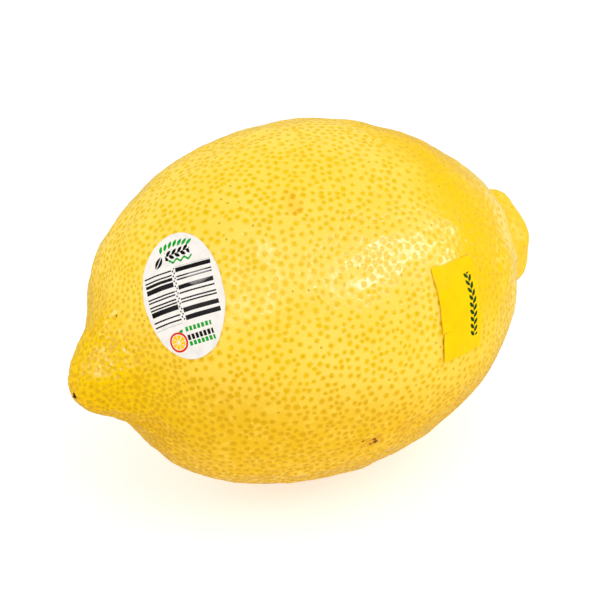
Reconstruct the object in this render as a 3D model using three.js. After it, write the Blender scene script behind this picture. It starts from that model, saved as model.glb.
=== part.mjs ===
import * as THREE from 'three';
import { mergeVertices } from 'three/addons/utils/BufferGeometryUtils.js';
import { ImprovedNoise } from 'three/addons/math/ImprovedNoise.js';

// A ripe lemon lying on its side, in millimetres, +Z up.
// Its axis runs along X: the nipple is at -X, the neck with the stem button is at +X.
// A turn is an angle round that axis, from +Y (0) over +Z (90), in degrees.
// The origin is the middle of the small flat spot that the fruit rests on.

// ---------------------------------------------------------------- driving dimensions
const BODY_RADIUS = 31.9;
const BODY_HALF_LENGTH = 40.6;
const FLAT_SPOT_DEPTH = 0.56;          // how much of the underside is pressed flat

// Outlines of the two ends as [x, radius], between the axis and the ellipse of the body.
// The neck rises out of a groove behind the body's shoulder, and ends in a small basin.
const NECK_OUTLINE = [
  [43.2, 0], [43.2, 2.4], [43.5, 3.7], [44.6, 4.4], [45.4, 5.3], [44.8, 6.7], [43.4, 8.0],
  [41.8, 8.9], [40.6, 9.4], [39.6, 10.2], [39.1, 11.5], [38.4, 13.1], [36.8, 15.0],
];
const NIPPLE_OUTLINE = [
  [-36.0, 13.0], [-38.3, 10.3], [-40.7, 7.9], [-43.8, 5.5], [-46.0, 2.7], [-46.5, 1.2], [-46.2, 0],
];
const BODY_STATIONS = [32, 24, 13, 0, -13, -24, -32];

const NIPPLE_BEND = { from: 33, to: 48, droop: 2.8, aside: -1.3 };

// Broad swellings and hollows that make the body uneven.
const SWELLING_SPREAD = 43;            // round the axis, in degrees
const SWELLINGS = [
  { x: 38, turn: 165, reach: 3.5, rise: -0.8 },
  { x: 29, turn: 231, reach: 10, rise: 1.05 },
  { x: 27, turn: 51, reach: 10, rise: -0.75 },
  { x: 18, turn: 318, reach: 12, rise: 0.6 },
  { x: -17, turn: 51, reach: 10, rise: 0.25 },
  { x: -26, turn: 231, reach: 8, rise: 0.6 },
  { x: -29, turn: 335, reach: 9, rise: -0.5 },
  { x: -33.5, turn: 272, reach: 4, rise: -0.6 },
  { x: -34, turn: 5, reach: 3.5, rise: 0.4 },
  { x: -39, turn: 28, reach: 3, rise: -0.6 },
  { x: -44, turn: 255, reach: 3, rise: -0.4 },
];

// Faint ribs run into both ends, and rounded lobes stand round the neck.
const RIBS = { count: 9, height: 0.2, from: 24, to: 38 };
const NECK_LOBES = { count: 5, height: 0.8, turn: 10, from: 39, to: 44 };

// Low lumps of the peel: lattice size and height of each layer.
const LUMPS = [
  { size: 6.5, height: 0.34 },
  { size: 3.1, height: 0.26 },
];
const LUMP_SHIFT = 7.3;                // keeps the lattice's even points off the fruit's middle

// Near the axis each kind of relief fades out between two radii, so that the ends stay closed.
const FADE = { swellings: [0, 12], ribs: [4, 8], lumps: [3, 7] };

const FRUIT_DETAIL = 21;               // the sphere's 20 faces are split 22 x 22 times
const END_FINENESS = 0.3;              // how much closer the mesh is at the two ends

const FILM_CLEARANCE = 0.14;           // between a label and the peel
const FILM_THICKNESS = 0.25;
const FILM_CELL = 1.2;
const CURL_START = 0.4;                // a lifted edge starts here, as a share of the half width

const OVAL_LABEL = { x: -30.3, turn: 123.5, width: 15.0, height: 22.6, lean: 13.8, curl: 0 };
const SIDE_LABEL = { x: 16.1, turn: 163.1, width: 10.6, height: 17.2, lean: 2.5, curl: 0.4 };

// The stem button's outline as [radius, height], from its underside to the clipped stalk's end.
const BUTTON_OUTLINE = [
  [0, 0], [2.8, 0], [3.15, 0.35], [2.7, 0.7], [1.75, 0.7], [1.35, 0.95], [1.28, 1.5], [0, 1.35],
];
const BUTTON_GAP = 0.35;               // to the floor of the neck's basin
const BUTTON_LOBES = { count: 5, depth: 0.16, from: 1.6, to: 3.15, facets: 8 };

const FINISHES = {
  peel: { color: 0xf5ce3e, roughness: 0.42 },
  whiteFilm: { color: 0xf4f1ee, roughness: 0.35 },
  yellowFilm: { color: 0xfbdc04, roughness: 0.35 },
  driedCalyx: { color: 0x8a7440, roughness: 0.85 },
};

// ---------------------------------------------------------------- the skin
const { clamp, degToRad, euclideanModulo, radToDeg, smoothstep } = THREE.MathUtils;
const noise = new ImprovedNoise();

function bodyPoint(x) {
  return [x, BODY_RADIUS * Math.sqrt(1 - (x / BODY_HALF_LENGTH) ** 2)];
}

// The half outline from the neck's end to the nipple's tip: x along the axis, y the radius.
const meridian = new THREE.SplineCurve(
  [...NECK_OUTLINE, ...BODY_STATIONS.map(bodyPoint), ...NIPPLE_OUTLINE]
    .map(([x, radius]) => new THREE.Vector2(x, radius)),
);
meridian.arcLengthDivisions = 800;
const meridianLength = meridian.getLength();
const restHeight = BODY_RADIUS - FLAT_SPOT_DEPTH;

function swell(x, turn) {
  return SWELLINGS.reduce((sum, swelling) => {
    const away = euclideanModulo(turn - swelling.turn + 180, 360) - 180;
    const along = (x - swelling.x) / swelling.reach;
    return sum + swelling.rise * Math.exp(-(along ** 2) - (away / SWELLING_SPREAD) ** 2);
  }, 0);
}

function ribs(x, turn) {
  const rib = RIBS.height * smoothstep(Math.abs(x), RIBS.from, RIBS.to);
  const lobe = NECK_LOBES.height * smoothstep(x, NECK_LOBES.from, NECK_LOBES.to);
  const ribAngle = RIBS.count * degToRad(turn);
  const lobeAngle = NECK_LOBES.count * degToRad(turn - NECK_LOBES.turn);
  return rib * Math.cos(ribAngle) + lobe * Math.cos(lobeAngle);
}

function lumps(point) {
  return LUMPS.reduce((sum, { size, height }) => (
    sum + height * noise.noise(point.x / size + LUMP_SHIFT, point.y / size, point.z / size)
  ), 0);
}

// The skin at a station (0 at the neck's end, 1 at the nipple's tip) and a turn,
// raised by lift along its normal.
function skinPoint(station, turn, lift = 0) {
  const { x, y: radius } = meridian.getPointAt(station);
  const run = meridian.getTangentAt(station);
  const [across, up] = [Math.cos(degToRad(turn)), Math.sin(degToRad(turn))];
  const fade = (kind) => smoothstep(radius, ...FADE[kind]);
  const full = radius + fade('swellings') * swell(x, turn) + fade('ribs') * ribs(x, turn);
  const point = new THREE.Vector3(x, full * across, full * up);
  const normal = new THREE.Vector3(run.y, -run.x * across, -run.x * up);
  point.addScaledVector(normal, fade('lumps') * lumps(point) + lift);
  const nipple = smoothstep(-x, NIPPLE_BEND.from, NIPPLE_BEND.to);
  point.y += NIPPLE_BEND.aside * nipple;
  point.z -= NIPPLE_BEND.droop * nipple;
  point.z = Math.max(point.z + restHeight, 0);
  return point;
}

function closedMesh(name, geometry, finish) {
  geometry.deleteAttribute('normal');
  geometry.deleteAttribute('uv');
  const merged = mergeVertices(geometry, 1e-4);
  merged.computeVertexNormals();
  const mesh = new THREE.Mesh(merged, new THREE.MeshStandardMaterial({ ...finish, metalness: 0 }));
  mesh.name = name;
  return mesh;
}

function moveVertices(geometry, place) {
  const positions = geometry.attributes.position;
  const vertex = new THREE.Vector3();
  for (let i = 0; i < positions.count; i += 1) {
    const { x, y, z } = place(vertex.fromBufferAttribute(positions, i));
    positions.setXYZ(i, x, y, z);
  }
  return geometry;
}

// ---------------------------------------------------------------- fruit
// A sphere of even triangles with a corner on each pole, laid out along the meridian.
function makeFruit() {
  const sphere = new THREE.IcosahedronGeometry(1, FRUIT_DETAIL);
  const plain = new THREE.IcosahedronGeometry(1, 0);
  const corner = new THREE.Vector3().fromBufferAttribute(plain.attributes.position, 0);
  const pole = new THREE.Vector3(1, 0, 0);
  sphere.applyQuaternion(new THREE.Quaternion().setFromUnitVectors(corner, pole));
  moveVertices(sphere, (vertex) => {
    const polar = Math.acos(clamp(vertex.x, -1, 1)) / Math.PI;
    const station = polar - END_FINENESS * Math.sin(2 * Math.PI * polar) / (2 * Math.PI);
    return skinPoint(clamp(station, 0, 1), radToDeg(Math.atan2(vertex.z, vertex.y)));
  });
  return closedMesh('fruit', sphere, FINISHES.peel);
}

// ---------------------------------------------------------------- labels
const HALVINGS = 40;                   // of the stretch in which a station is looked for
const SETTLING_STEPS = 12;             // that bring a label's point to its place on the skin
const NEARBY = 0.002;                  // a short step along the meridian

// The station at which the meridian has come down to x.
function stationAt(x) {
  let low = 0;
  let high = 1;
  for (let i = 0; i < HALVINGS; i += 1) {
    const middle = (low + high) / 2;
    const isBefore = meridian.getPointAt(middle).x > x;
    low = isBefore ? middle : low;
    high = isBefore ? high : middle;
  }
  return low;
}

// The station and the turn at distances along and round the skin from a label's middle.
function skinNear(label, along, round) {
  const middle = { station: stationAt(label.x), turn: label.turn };
  const origin = skinPoint(middle.station, middle.turn);
  const ahead = skinPoint(middle.station - NEARBY, middle.turn).sub(origin).normalize();
  const angle = degToRad(label.turn);
  const aside = new THREE.Vector3(0, -Math.sin(angle), Math.cos(angle));
  const reach = Math.hypot(along, round) / BODY_RADIUS;
  const shrink = reach > 0 ? Math.sin(reach) / reach : 1;
  const place = { ...middle };
  for (let i = 0; i < SETTLING_STEPS; i += 1) {
    const offset = skinPoint(place.station, place.turn).sub(origin);
    const { y: radius } = meridian.getPointAt(place.station);
    place.station -= (along * shrink - offset.dot(ahead)) / meridianLength;
    place.turn += radToDeg((round * shrink - offset.dot(aside)) / radius);
  }
  return place;
}

// Lays a flat film (x across, y up, z through its thickness) on the skin.
function makeLabel(name, label, finish, shapeFilm) {
  const across = Math.round(label.width / FILM_CELL);
  const up = Math.round(label.height / FILM_CELL);
  const film = new THREE.BoxGeometry(2, 2, 1, across, up, 1);
  const lean = degToRad(label.lean);
  moveVertices(film, (vertex) => {
    const flat = shapeFilm(vertex.x, vertex.y);
    const x = flat.x * label.width / 2;
    const y = flat.y * label.height / 2;
    const along = x * Math.cos(lean) + y * Math.sin(lean);
    const round = x * Math.sin(lean) - y * Math.cos(lean);
    const { station, turn } = skinNear(label, along, round);
    const lift = FILM_CLEARANCE + label.curl * smoothstep(-vertex.x, CURL_START, 1);
    return skinPoint(station, turn, lift + FILM_THICKNESS * (vertex.z + 0.5));
  });
  return closedMesh(name, film, finish);
}

const squareToDisc = (x, y) => ({ x: x * Math.sqrt(1 - y * y / 2), y: y * Math.sqrt(1 - x * x / 2) });
const keepSquare = (x, y) => ({ x, y });

// ---------------------------------------------------------------- stem button
// A lobed disc with the clipped stalk on it, sunk in the basin of the neck's end.
function makeButton() {
  const outline = BUTTON_OUTLINE.map(([radius, height]) => new THREE.Vector2(radius, height));
  const button = new THREE.LatheGeometry(outline, BUTTON_LOBES.count * BUTTON_LOBES.facets);
  moveVertices(button, ({ x, y, z }) => {
    const notch = (1 - Math.cos(BUTTON_LOBES.count * Math.atan2(z, x))) / 2;
    const waist = smoothstep(Math.hypot(x, z), BUTTON_LOBES.from, BUTTON_LOBES.to);
    const scale = 1 - BUTTON_LOBES.depth * waist * notch;
    return new THREE.Vector3(x * scale, y, z * scale);
  });
  const mesh = closedMesh('stem_button', button, FINISHES.driedCalyx);
  mesh.rotation.z = -Math.PI / 2;
  const floor = skinPoint(0, 0);
  mesh.position.set(floor.x + BUTTON_GAP, floor.y, floor.z);
  return mesh;
}

// ---------------------------------------------------------------- the whole lemon
const lemon = new THREE.Group();
lemon.add(
  makeFruit(),
  makeLabel('oval_label', OVAL_LABEL, FINISHES.whiteFilm, squareToDisc),
  makeLabel('side_label', SIDE_LABEL, FINISHES.yellowFilm, keepSquare),
  makeButton(),
);

export default lemon;
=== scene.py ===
"""A ripe lemon with two film labels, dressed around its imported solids."""

import logging
import math
from dataclasses import dataclass, field
from enum import Enum

import bpy
import numpy as np
from mathutils import Matrix, Vector

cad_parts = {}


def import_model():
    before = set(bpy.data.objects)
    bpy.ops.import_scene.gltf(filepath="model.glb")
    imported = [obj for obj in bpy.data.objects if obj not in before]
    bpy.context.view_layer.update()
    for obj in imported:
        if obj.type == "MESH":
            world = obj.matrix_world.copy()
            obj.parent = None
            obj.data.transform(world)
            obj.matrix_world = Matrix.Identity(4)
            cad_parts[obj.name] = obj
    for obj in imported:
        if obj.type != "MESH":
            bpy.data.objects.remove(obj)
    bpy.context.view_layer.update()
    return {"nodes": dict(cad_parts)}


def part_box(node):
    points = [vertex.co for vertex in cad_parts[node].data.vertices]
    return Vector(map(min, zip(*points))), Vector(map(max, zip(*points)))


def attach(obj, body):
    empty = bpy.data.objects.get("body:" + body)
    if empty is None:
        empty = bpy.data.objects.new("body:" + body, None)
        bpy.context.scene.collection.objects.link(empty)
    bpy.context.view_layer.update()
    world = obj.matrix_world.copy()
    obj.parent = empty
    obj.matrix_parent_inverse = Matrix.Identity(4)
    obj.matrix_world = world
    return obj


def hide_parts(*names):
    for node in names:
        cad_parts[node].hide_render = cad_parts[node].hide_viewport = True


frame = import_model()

LOG = logging.getLogger("lemon")
MM = 0.001
BODY = "root"
SAME_POINT = 0.001 * MM
TINY = 1e-12
CREASE = math.radians(40)

Socket = bpy.types.NodeSocket
Value = float | Socket
Colour = tuple[float, float, float, float] | Socket
Pair = tuple[float, float]
Triple = tuple[float, float, float]


class Slot(Enum):
    """The record's material slots."""

    PEEL = "peel"
    CALYX = "dried_calyx"
    WHITE_FILM = "white_film"
    YELLOW_FILM = "yellow_film"


class Shows(Enum):
    """What a lamp is for: the light on the colours, or the highlights."""

    LIGHT = "light"
    GLOSS = "gloss"


# ------------------------------------------------------------------ shared helpers
def tint(code: str) -> tuple[float, float, float, float]:
    """Turns a screen colour code into scene-linear light.

    Args:
        code: six hexadecimal digits, red, green and blue.

    Returns:
        Linear red, green, blue and an alpha of 1.
    """
    screen = [int(code[i:i + 2], 16) / 255 for i in (0, 2, 4)]
    linear = [s / 12.92 if s <= 0.04045 else ((s + 0.055) / 1.055) ** 2.4 for s in screen]
    return (*linear, 1.0)


def deselect() -> None:
    """Leaves nothing selected."""
    bpy.ops.object.select_all(action="DESELECT")


def make_active(piece: bpy.types.Object) -> None:
    """Selects one object alone, ready for an operator.

    Args:
        piece: the object.
    """
    deselect()
    piece.select_set(True)
    bpy.context.view_layer.objects.active = piece


def edit_all(piece: bpy.types.Object) -> None:
    """Opens one object for editing with all of its mesh selected.

    Args:
        piece: the mesh object.
    """
    make_active(piece)
    bpy.ops.object.mode_set(mode="EDIT")
    bpy.ops.mesh.select_all(action="SELECT")


def leave_edit() -> None:
    """Goes back to object mode."""
    bpy.ops.object.mode_set(mode="OBJECT")


def apply_modifier(piece: bpy.types.Object, kind: str, **settings: object) -> None:
    """Adds a modifier, sets it and applies it.

    Args:
        piece: the mesh object that it shapes.
        kind: the modifier's type name.
        **settings: its properties by name.
    """
    make_active(piece)
    modifier = piece.modifiers.new(kind.lower(), kind)
    for key, value in settings.items():
        setattr(modifier, key, value)
    bpy.ops.object.modifier_apply(modifier=modifier.name)


def copy_of(node: str, name: str) -> bpy.types.Object:
    """Copies a solid's mesh into a new object and joins its loose triangles.

    Args:
        node: the solid's name.
        name: the new object's name.

    Returns:
        The new object.
    """
    piece = bpy.data.objects.new(name, frame["nodes"][node].data.copy())
    bpy.context.collection.objects.link(piece)
    edit_all(piece)
    bpy.ops.mesh.remove_doubles(threshold=SAME_POINT)
    leave_edit()
    make_active(piece)
    bpy.ops.mesh.customdata_custom_splitnormals_clear()
    return piece


def discard(piece: bpy.types.Object) -> None:
    """Removes a helper object and its mesh.

    Args:
        piece: the helper.
    """
    mesh = piece.data
    bpy.data.objects.remove(piece)
    bpy.data.meshes.remove(mesh)


def read_rows(items: bpy.types.bpy_prop_collection, key: str) -> np.ndarray:
    """Returns one vector property of every item as rows of x, y, z.

    Args:
        items: the items.
        key: the property's name.

    Returns:
        The rows.
    """
    rows = np.empty(len(items) * 3)
    items.foreach_get(key, rows)
    return rows.reshape(-1, 3)


def read_numbers(items: bpy.types.bpy_prop_collection, key: str) -> np.ndarray:
    """Returns one whole-number property of every item.

    Args:
        items: the items.
        key: the property's name.

    Returns:
        The numbers.
    """
    numbers = np.empty(len(items), dtype=np.int32)
    items.foreach_get(key, numbers)
    return numbers


def read_places(mesh: bpy.types.Mesh) -> np.ndarray:
    """Returns every vertex's place as rows of x, y, z."""
    return read_rows(mesh.vertices, "co")


def write_places(mesh: bpy.types.Mesh, places: np.ndarray) -> None:
    """Moves every vertex to the given rows of x, y, z."""
    mesh.vertices.foreach_set("co", places.ravel())
    mesh.update()


def record(mesh: bpy.types.Mesh, name: str, domain: str, values: np.ndarray) -> None:
    """Stores a value on each point, face or corner of a mesh.

    Args:
        mesh: the mesh.
        name: the attribute's name.
        domain: POINT, FACE or CORNER.
        values: a number, a whole number or a row of x, y, z for each of them.
    """
    if values.ndim == 2:
        mesh.attributes.new(name, "FLOAT_VECTOR", domain).data.foreach_set("vector", values.ravel())
        return
    kind = "INT" if values.dtype == np.int32 else "FLOAT"
    mesh.attributes.new(name, kind, domain).data.foreach_set("value", values)


def unit(rows: np.ndarray) -> np.ndarray:
    """Scales each row to length 1."""
    return rows / np.maximum(np.linalg.norm(rows, axis=1, keepdims=True), TINY)


@dataclass(frozen=True)
class Ramp:
    """A step from low to high while a value runs from start to end."""

    start: float
    end: float
    low: float = 0.0
    high: float = 1.0

    def of(self, values: np.ndarray) -> np.ndarray:
        """Returns the step of each value, rising evenly."""
        share = np.clip((values - self.start) / (self.end - self.start), 0, 1)
        return self.low + (self.high - self.low) * share


@dataclass(frozen=True)
class Relief:
    """A layer of noise in the surface: its features' size, finer layers, height and strength."""

    size: float
    detail: float
    height: float
    strength: float


class Finish:
    """A material's node tree, with short calls for the nodes that all finishes share."""

    def __init__(self, name: str) -> None:
        """Starts a material with a Principled surface that reads the object's own place.

        Args:
            name: the material's name.
        """
        self.material = bpy.data.materials.new(name)
        self.material.use_nodes = True
        self.nodes = self.material.node_tree.nodes
        self.links = self.material.node_tree.links
        self.surface = self.nodes["Principled BSDF"]
        self.place = self.add("ShaderNodeTexCoord").outputs["Object"]

    def add(self, kind: str, **settings: object) -> bpy.types.Node:
        """Adds a node and sets its properties.

        Args:
            kind: the node's type name.
            **settings: its properties by name.

        Returns:
            The node.
        """
        node = self.nodes.new(kind)
        for key, value in settings.items():
            setattr(node, key, value)
        return node

    def feed(self, socket: Socket, value: Value | Colour) -> None:
        """Links a socket to another, or sets its own value.

        Args:
            socket: the input to feed.
            value: a socket to link or a value to set.
        """
        if isinstance(value, bpy.types.NodeSocket):
            self.links.new(value, socket)
        else:
            socket.default_value = value

    def math(self, operation: str, first: Value, second: Value = 0.0) -> Socket:
        """Returns the result of a math node on two values.

        Args:
            operation: the node's operation.
            first: its first value.
            second: its second value, where it takes one.

        Returns:
            The result.
        """
        node = self.add("ShaderNodeMath", operation=operation)
        self.feed(node.inputs[0], first)
        self.feed(node.inputs[1], second)
        return node.outputs[0]

    def total(self, *values: Value) -> Socket:
        """Returns the sum of several values.

        Args:
            *values: what is added up.

        Returns:
            The sum.
        """
        result = values[0]
        for value in values[1:]:
            result = self.math("ADD", result, value)
        return result

    def minus(self, first: Value, second: Value) -> Socket:
        """Returns the difference of two values."""
        return self.math("SUBTRACT", first, second)

    def product(self, *values: Value) -> Socket:
        """Returns the product of several values.

        Args:
            *values: what is multiplied.

        Returns:
            The product.
        """
        result = values[0]
        for value in values[1:]:
            result = self.math("MULTIPLY", result, value)
        return result

    def size_of(self, value: Value) -> Socket:
        """Returns a value without its sign."""
        return self.math("ABSOLUTE", value)

    def union(self, *masks: Value) -> Socket:
        """Returns 1 where any of several masks is 1."""
        return self.math("MINIMUM", self.total(*masks), 1.0)

    def mix(self, amount: Value, first: Colour, second: Colour) -> Socket:
        """Returns a colour between two colours.

        Args:
            amount: how much of the second colour shows, from 0 to 1.
            first: the first colour.
            second: the second colour.

        Returns:
            The mixed colour.
        """
        node = self.add("ShaderNodeMix", data_type="RGBA")
        self.feed(node.inputs["Factor"], amount)
        self.feed(node.inputs[6], first)
        self.feed(node.inputs[7], second)
        return node.outputs[2]

    def span(self, value: Value, ramp: Ramp) -> Socket:
        """Returns a ramp's step of a value, rising smoothly.

        Args:
            value: what the ramp runs along.
            ramp: its ends and what it gives there.

        Returns:
            The step.
        """
        node = self.add("ShaderNodeMapRange", interpolation_type="SMOOTHSTEP")
        self.feed(node.inputs["Value"], value)
        node.inputs["From Min"].default_value = ramp.start
        node.inputs["From Max"].default_value = ramp.end
        node.inputs["To Min"].default_value = ramp.low
        node.inputs["To Max"].default_value = ramp.high
        return node.outputs["Result"]

    def noise(self, size: float, detail: float = 3.0) -> Socket:
        """Returns cloud noise from 0 to 1 whose features are about size metres across.

        Args:
            size: how wide its features are, in metres.
            detail: how many finer layers it has.

        Returns:
            The noise.
        """
        node = self.add("ShaderNodeTexNoise")
        self.feed(node.inputs["Vector"], self.place)
        node.inputs["Scale"].default_value = 1 / size
        node.inputs["Detail"].default_value = detail
        return node.outputs["Fac"]

    def sway(self, size: float, detail: float = 3.0) -> Socket:
        """Returns cloud noise that sways about 0, from -0.5 to 0.5."""
        return self.minus(self.noise(size, detail), 0.5)

    def axis(self, name: str, vector: Socket | None = None) -> Socket:
        """Returns one coordinate of a vector, the object's place by default.

        Args:
            name: X, Y or Z.
            vector: the vector, or None for the object's place.

        Returns:
            The coordinate.
        """
        node = self.add("ShaderNodeSeparateXYZ")
        self.feed(node.inputs[0], vector or self.place)
        return node.outputs[name]

    def attribute(self, name: str, output: str = "Fac") -> Socket:
        """Returns a named attribute of the mesh."""
        return self.add("ShaderNodeAttribute", attribute_name=name).outputs[output]

    def printed(self) -> tuple[Socket, Socket]:
        """Returns a place on the flat film, across it and up it in millimetres from its middle."""
        place = self.attribute("print", "Vector")
        return self.axis("X", place), self.axis("Y", place)

    def length(self, vector: Socket) -> Socket:
        """Returns a vector's length.

        Args:
            vector: the vector.

        Returns:
            Its length.
        """
        node = self.add("ShaderNodeVectorMath", operation="LENGTH")
        self.feed(node.inputs[0], vector)
        return node.outputs["Value"]

    def inside(self, value: Value, low: float, high: float) -> Socket:
        """Returns 1 where a value lies between two limits and 0 elsewhere."""
        return self.product(self.math("GREATER_THAN", value, low), self.math("LESS_THAN", value, high))

    def within(self, value: Value, reach: float) -> Socket:
        """Returns 1 where a value lies less than reach from 0 and 0 elsewhere."""
        return self.math("LESS_THAN", self.size_of(value), reach)

    def repeat(self, value: Value, pitch: float) -> Socket:
        """Wraps a value so that it runs from minus to plus half a pitch, again and again."""
        return self.minus(self.math("FLOORED_MODULO", value, pitch), pitch / 2)

    def chance(self, value: Value, step: float, seed: float) -> Socket:
        """Returns a random number from 0 to 1 for each step along a value.

        Args:
            value: where the number is asked for.
            step: how long one number holds.
            seed: which row of numbers it is.

        Returns:
            The random number.
        """
        node = self.add("ShaderNodeTexWhiteNoise", noise_dimensions="1D")
        index = self.math("FLOOR", self.math("DIVIDE", value, step))
        self.feed(node.inputs["W"], self.total(index, seed))
        return node.outputs["Value"]

    def turned(self, x: Value, y: Value, degrees: float) -> tuple[Socket, Socket]:
        """Returns flat coordinates seen from axes turned by an angle.

        Args:
            x: the first coordinate.
            y: the second coordinate.
            degrees: how far the new axes are turned to the left.

        Returns:
            The coordinates along the new axes.
        """
        cosine, sine = math.cos(math.radians(degrees)), math.sin(math.radians(degrees))
        along = self.total(self.product(x, cosine), self.product(y, sine))
        aside = self.total(self.product(y, cosine), self.product(x, -sine))
        return along, aside

    def about(self, x: Value, y: Value, centre: Pair) -> tuple[Socket, Socket, Socket]:
        """Returns how far right of a centre, above it and away from it a flat place is.

        Args:
            x: the first coordinate.
            y: the second coordinate.
            centre: the centre's own.

        Returns:
            The distance right of it, above it and away from it.
        """
        side, rise = self.minus(x, centre[0]), self.minus(y, centre[1])
        away = self.math("SQRT", self.total(self.product(side, side), self.product(rise, rise)))
        return side, rise, away

    def bump(self, height: Value, distance: float, strength: float, under: Socket | None) -> Socket:
        """Returns a normal tilted by a height.

        Args:
            height: the surface's height, from 0 to 1.
            distance: how high 1 is, in metres.
            strength: how much of the tilt shows.
            under: the normal that it tilts, or None for the mesh's own.

        Returns:
            The tilted normal.
        """
        node = self.add("ShaderNodeBump")
        node.inputs["Strength"].default_value = strength
        node.inputs["Distance"].default_value = distance
        self.feed(node.inputs["Height"], height)
        if under:
            self.feed(node.inputs["Normal"], under)
        return node.outputs["Normal"]

    def relief(self, *layers: Relief) -> Socket:
        """Returns a normal tilted by several layers of noise, one on another.

        Args:
            *layers: the layers, the lowest first.

        Returns:
            The tilted normal.
        """
        normal = None
        for layer in layers:
            height = self.noise(layer.size, layer.detail)
            normal = self.bump(height, layer.height, layer.strength, normal)
        return normal

    def set(self, **values: Value | Colour) -> None:
        """Sets the surface's sockets, named with _ for a space.

        Args:
            **values: what each socket gets.
        """
        for key, value in values.items():
            socket = self.surface.inputs[key.replace("_", " ").replace("Ior", "IOR")]
            self.feed(socket, value)


def dress(piece: bpy.types.Object, material: bpy.types.Material) -> None:
    """Gives a piece one material and no other."""
    piece.data.materials.clear()
    piece.data.materials.append(material)


def hand_over(piece: bpy.types.Object, slot: Slot, *nodes: str) -> None:
    """Attaches a finished piece to its body, hides the solids that it stands for and logs its triangle
    count.

    Args:
        piece: the finished piece.
        slot: not used.
        *nodes: the solids that it stands for, if any.
    """
    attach(piece, BODY)
    if nodes:
        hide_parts(*nodes)
    faces = piece.data.polygons
    LOG.info("%s: %d triangles", piece.name, sum(len(face.vertices) - 2 for face in faces))


# ------------------------------------------------------------------ peel
@dataclass(frozen=True)
class Blemish:
    """One mark on the peel: its middle and radius in millimetres, its strength and its ragged edge."""

    centre: Triple
    radius: float
    strength: float = 1.0
    rag: float = 1.0
    rag_size: float = 0.45
    edge: Ramp = Ramp(1.0, 0.45)

    def mask(self, sheet: Finish) -> Socket:
        """Returns the mark's strength in its middle, fading to 0 outside its edge.

        Args:
            sheet: the material being made.

        Returns:
            The mask.
        """
        node = sheet.add("ShaderNodeVectorMath", operation="DISTANCE")
        sheet.feed(node.inputs[0], sheet.place)
        node.inputs[1].default_value = [c * MM for c in self.centre]
        away = sheet.math("DIVIDE", node.outputs["Value"], self.radius * MM)
        push = sheet.product(sheet.sway(self.rag_size * self.radius * MM), self.rag)
        return sheet.product(sheet.span(sheet.total(away, push), self.edge), self.strength)


BRUISES = (
    Blemish((-8.5, -12.4, 60.0), 2.2, 0.9),
    Blemish((-8.1, -10.1, 60.9), 1.7, 0.8),
)
RUST = (
    Blemish((-2.6, -29.4, 19.2), 2.6, 0.50),
    Blemish((4.0, -29.7, 20.0), 3.0, 0.22),
)
SCABS = (
    Blemish((-2.0, -29.5, 18.9), 0.70, rag=0.8),
    Blemish((-2.9, -29.4, 18.6), 0.50, rag=0.8),
    Blemish((-2.4, -29.6, 19.9), 0.50, rag=0.8),
    Blemish((-4.7, -29.6, 20.2), 0.40, rag=0.8),
    Blemish((-37.7, -1.6, 41.4), 0.40, rag=0.8),
)


@dataclass(frozen=True)
class Zones:
    """What is known of a place on the peel: noise and masks from 0 to 1, and measures in metres."""

    cloud: Socket
    grain: Socket
    drift: Socket
    slant: Socket
    nipple: Socket
    crown: Socket
    neck: Socket
    bruised: Socket


@dataclass(frozen=True)
class SkinColours:
    """The peel between its glands, from the pale body to both richer ends."""

    pale: str = "FDD85A"
    warm: str = "FDD34A"
    # deeper yellow underneath; its darkness is partly painted shade where less light falls
    under: str = "EAB810"
    shoulder: str = "FBC700"
    fleck: str = "FDDC68"
    # painted highlight: the cream band of reflected light along the shoulder's crest by the neck
    crest_highlight: str = "FEE58C"
    neck: str = "FAC80C"
    neck_pale: str = "FDDA50"
    nipple: str = "F4C800"
    # the nipple's lower side, darker as painted shade
    nipple_shaded_low: str = "E2AE00"
    # painted light on wrinkle ridges and painted shade in their valleys, following the skin's relief
    ridge_light: str = "FAD052"
    nipple_ridge_light: str = "F8C608"
    valley_shade: str = "DCA600"
    bruise: str = "FCC630"
    rust: str = "D9960E"
    scab: str = "66380C"


@dataclass(frozen=True)
class GlandColours:
    """The oil glands, deeper than the skin about them."""

    rim: str = "F1C300"
    core: str = "DFAC00"
    top: str = "E9C600"
    # glands darker towards the bottom, partly painted shade
    low: str = "D8A200"
    nipple: str = "D29E00"
    bruised: str = "E6A800"
    speck: str = "BC9C08"


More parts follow.
